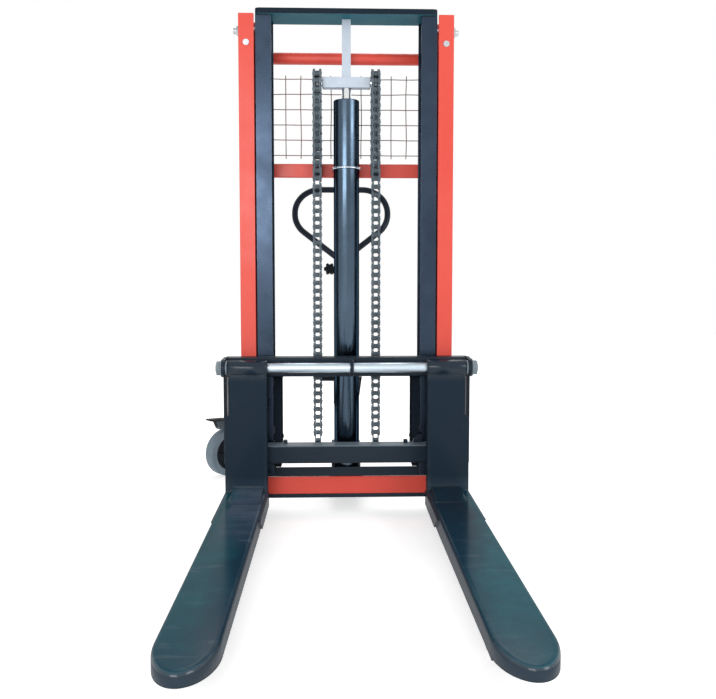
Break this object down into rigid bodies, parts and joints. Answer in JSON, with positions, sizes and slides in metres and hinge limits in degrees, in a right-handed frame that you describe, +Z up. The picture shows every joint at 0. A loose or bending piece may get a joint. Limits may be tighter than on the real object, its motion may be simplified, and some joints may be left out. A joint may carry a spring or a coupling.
{
  "type": "pallet stacker",
  "caption": "Manual hydraulic pallet stacker: chain-lifted fork carriage on a telescopic mast, sliding forks, pump tiller, low legs with load rollers and swivel casters.",
  "frame": {"origin": "middle of the footprint, on the floor", "axes": "+Z up, forks point along -Y, operator stands on the +Y side, +X to the right seen from the forks"},
  "size_m": [0.9999, 1.7842, 1.605],
  "materials": {
    "red_paint": "gloss enamel",
    "black_paint": "satin blue-black enamel",
    "bright_steel": "ground and zinc plated",
    "chrome_rod": "polished",
    "chain_steel": "oiled steel",
    "roller_steel": "machined steel",
    "guard_wire": "dark painted wire",
    "zinc_plate": "zinc plated pressings",
    "pedal_black": "satin black",
    "hub_plastic": "moulded nylon",
    "tread_rubber": "grey-blue elastic tread",
    "roller_nylon": "cast nylon",
    "knob_plastic": "moulded plastic"
  },
  "bodies": {
    "chassis": {"outer_post_left": "red_paint", "outer_post_right": "red_paint", "bottom_beam": "red_paint", "top_tie_bar": "red_paint", "middle_tie_bar": "red_paint", "guard_mesh": "guard_wire", "leg_left": "black_paint", "leg_right": "black_paint", "load_roller_axles": "bright_steel", "caster_arms": "black_paint", "base_plate": "black_paint", "pump_housing": "black_paint", "lift_cylinder": "black_paint", "cylinder_strap": "bright_steel", "mast_bolts": "bright_steel", "rear_chain_anchors": "black_paint", "rear_chains": "chain_steel"},
    "inner_mast": {"inner_post_left": "black_paint", "inner_post_right": "black_paint", "inner_top_plate": "black_paint", "inner_bottom_plate": "black_paint", "lift_rod": "chrome_rod", "crosshead": "bright_steel", "chain_axle": "bright_steel", "lower_roller_axles": "bright_steel", "chain_wraps": "chain_steel"},
    "carriage": {"carriage_top_beam": "black_paint", "carriage_lower_beam": "black_paint", "carriage_end_plates": "black_paint", "carriage_side_plates": "black_paint", "fork_shaft": "bright_steel", "shaft_nuts": "bright_steel", "carriage_roller_axles": "bright_steel", "front_chain_anchors": "black_paint", "front_chains": "chain_steel"},
    "fork_left": {"fork_left": "black_paint"},
    "fork_right": {"fork_right": "black_paint"},
    "tiller": {"tiller_handle": "black_paint"},
    "release_knob": {"release_knob": "knob_plastic"},
    "pump_plunger": {"pump_plunger": "chrome_rod"},
    "chain_wheel_left": {"chain_wheel_left": "roller_steel"},
    "lower_mast_roller_left": {"lower_mast_roller_left": "roller_steel"},
    "upper_mast_roller_left": {"upper_mast_roller_left": "roller_steel"},
    "carriage_roller_low_left": {"carriage_roller_low_left": "roller_steel"},
    "carriage_roller_high_left": {"carriage_roller_high_left": "roller_steel"},
    "load_roller_left": {"load_roller_left": "roller_nylon"},
    "caster_swivel_left": {"caster_yoke_left": "zinc_plate"},
    "caster_wheel_left": {"caster_wheel_left": "hub_plastic", "caster_tyre_left": "tread_rubber"},
    "brake_pedal_left": {"brake_pedal_left": "pedal_black"},
    "chain_wheel_right": {"chain_wheel_right": "roller_steel"},
    "lower_mast_roller_right": {"lower_mast_roller_right": "roller_steel"},
    "upper_mast_roller_right": {"upper_mast_roller_right": "roller_steel"},
    "carriage_roller_low_right": {"carriage_roller_low_right": "roller_steel"},
    "carriage_roller_high_right": {"carriage_roller_high_right": "roller_steel"},
    "load_roller_right": {"load_roller_right": "roller_nylon"},
    "caster_swivel_right": {"caster_yoke_right": "zinc_plate"},
    "caster_wheel_right": {"caster_wheel_right": "hub_plastic", "caster_tyre_right": "tread_rubber"},
    "brake_pedal_right": {"brake_pedal_right": "pedal_black"}
  },
  "joints": [
    {"name": "mast_lift", "type": "slide", "parent": "chassis", "child": "inner_mast", "axis": [0, 0, 1], "range_m": [0, 0.762], "deforming": ["rear_chains"]},
    {"name": "carriage_lift", "type": "slide", "parent": "inner_mast", "child": "carriage", "axis": [0, 0, 1], "range_m": [0, 0.762], "deforming": ["front_chains"]},
    {"name": "fork_slide_left", "type": "slide", "parent": "carriage", "child": "fork_left", "axis": [1, 0, 0], "range_m": [0, 0.21]},
    {"name": "chain_wheel_left_turn", "type": "hinge", "parent": "inner_mast", "child": "chain_wheel_left", "pos_m": [-0.0596, 0.3354, 1.389], "axis": [1, 0, 0], "continuous": true},
    {"name": "lower_mast_roller_left_turn", "type": "hinge", "parent": "inner_mast", "child": "lower_mast_roller_left", "pos_m": [-0.2821, 0.3354, 0.2003], "axis": [1, 0, 0], "continuous": true},
    {"name": "upper_mast_roller_left_turn", "type": "hinge", "parent": "chassis", "child": "upper_mast_roller_left", "pos_m": [-0.2396, 0.3354, 1.549], "axis": [1, 0, 0], "continuous": true},
    {"name": "carriage_roller_low_left_turn", "type": "hinge", "parent": "carriage", "child": "carriage_roller_low_left", "pos_m": [-0.2131, 0.3354, 0.25], "axis": [1, 0, 0], "continuous": true},
    {"name": "carriage_roller_high_left_turn", "type": "hinge", "parent": "carriage", "child": "carriage_roller_high_left", "pos_m": [-0.2131, 0.3354, 0.452], "axis": [1, 0, 0], "continuous": true},
    {"name": "load_roller_left_turn", "type": "hinge", "parent": "chassis", "child": "load_roller_left", "pos_m": [-0.2791, -0.6371, 0.027], "axis": [1, 0, 0], "continuous": true},
    {"name": "caster_swivel_left", "type": "hinge", "parent": "chassis", "child": "caster_swivel_left", "pos_m": [-0.3866, 0.8454, 0.24], "axis": [0, 0, 1], "continuous": true},
    {"name": "caster_roll_left", "type": "hinge", "parent": "caster_swivel_left", "child": "caster_wheel_left", "pos_m": [-0.42004, 0.81529, 0.09], "axis": [0.6691, -0.7431, 0], "continuous": true},
    {"name": "brake_press_left", "type": "hinge", "parent": "caster_swivel_left", "child": "brake_pedal_left", "pos_m": [-0.4193, 0.81596, 0.217], "axis": [0.6691, -0.7431, 0], "range_deg": [0, 12], "stiffness_Nm_per_rad": 1.5, "springref_deg": -17.19},
    {"name": "fork_slide_right", "type": "slide", "parent": "carriage", "child": "fork_right", "axis": [-1, 0, 0], "range_m": [0, 0.21]},
    {"name": "chain_wheel_right_turn", "type": "hinge", "parent": "inner_mast", "child": "chain_wheel_right", "pos_m": [0.1264, 0.3354, 1.389], "axis": [1, 0, 0], "continuous": true},
    {"name": "lower_mast_roller_right_turn", "type": "hinge", "parent": "inner_mast", "child": "lower_mast_roller_right", "pos_m": [0.3489, 0.3354, 0.2003], "axis": [1, 0, 0], "continuous": true},
    {"name": "upper_mast_roller_right_turn", "type": "hinge", "parent": "chassis", "child": "upper_mast_roller_right", "pos_m": [0.3064, 0.3354, 1.549], "axis": [1, 0, 0], "continuous": true},
    {"name": "carriage_roller_low_right_turn", "type": "hinge", "parent": "carriage", "child": "carriage_roller_low_right", "pos_m": [0.2799, 0.3354, 0.25], "axis": [1, 0, 0], "continuous": true},
    {"name": "carriage_roller_high_right_turn", "type": "hinge", "parent": "carriage", "child": "carriage_roller_high_right", "pos_m": [0.2799, 0.3354, 0.452], "axis": [1, 0, 0], "continuous": true},
    {"name": "load_roller_right_turn", "type": "hinge", "parent": "chassis", "child": "load_roller_right", "pos_m": [0.3459, -0.6371, 0.027], "axis": [1, 0, 0], "continuous": true},
    {"name": "caster_swivel_right", "type": "hinge", "parent": "chassis", "child": "caster_swivel_right", "pos_m": [0.4534, 0.8454, 0.24], "axis": [0, 0, 1], "continuous": true},
    {"name": "caster_roll_right", "type": "hinge", "parent": "caster_swivel_right", "child": "caster_wheel_right", "pos_m": [0.41996, 0.81529, 0.09], "axis": [0.6691, -0.7431, 0], "continuous": true},
    {"name": "brake_press_right", "type": "hinge", "parent": "caster_swivel_right", "child": "brake_pedal_right", "pos_m": [0.4207, 0.81596, 0.217], "axis": [0.6691, -0.7431, 0], "range_deg": [0, 12], "stiffness_Nm_per_rad": 1.5, "springref_deg": -17.19},
    {"name": "tiller_pump", "type": "hinge", "parent": "chassis", "child": "tiller", "pos_m": [0.0204, 0.5204, 0.42], "axis": [-1, 0, 0], "range_deg": [0, 55], "stiffness_Nm_per_rad": 30, "springref_deg": -34.38},
    {"name": "plunger_stroke", "type": "slide", "parent": "chassis", "child": "pump_plunger", "axis": [0, 0, -1], "range_m": [0, 0.0385]},
    {"name": "release_turn", "type": "hinge", "parent": "tiller", "child": "release_knob", "pos_m": [-0.0226, 0.64215, 0.79472], "axis": [0, -0.9511, 0.309], "range_deg": [0, 90]}
  ],
  "couplings": [
    {"joint": "carriage_lift", "follows": "mast_lift", "ratio": 1},
    {"joint": "chain_wheel_left_turn", "follows": "mast_lift", "rad_per_m": -30.133},
    {"joint": "lower_mast_roller_left_turn", "follows": "mast_lift", "rad_per_m": -23.81},
    {"joint": "upper_mast_roller_left_turn", "follows": "mast_lift", "rad_per_m": 26.316},
    {"joint": "carriage_roller_low_left_turn", "follows": "mast_lift", "rad_per_m": -26.316},
    {"joint": "carriage_roller_high_left_turn", "follows": "mast_lift", "rad_per_m": 26.316},
    {"joint": "chain_wheel_right_turn", "follows": "mast_lift", "rad_per_m": -30.133},
    {"joint": "lower_mast_roller_right_turn", "follows": "mast_lift", "rad_per_m": -23.81},
    {"joint": "upper_mast_roller_right_turn", "follows": "mast_lift", "rad_per_m": 26.316},
    {"joint": "carriage_roller_low_right_turn", "follows": "mast_lift", "rad_per_m": -26.316},
    {"joint": "carriage_roller_high_right_turn", "follows": "mast_lift", "rad_per_m": 26.316},
    {"joint": "plunger_stroke", "follows": "tiller_pump", "m_per_rad": 0.04}
  ]
}
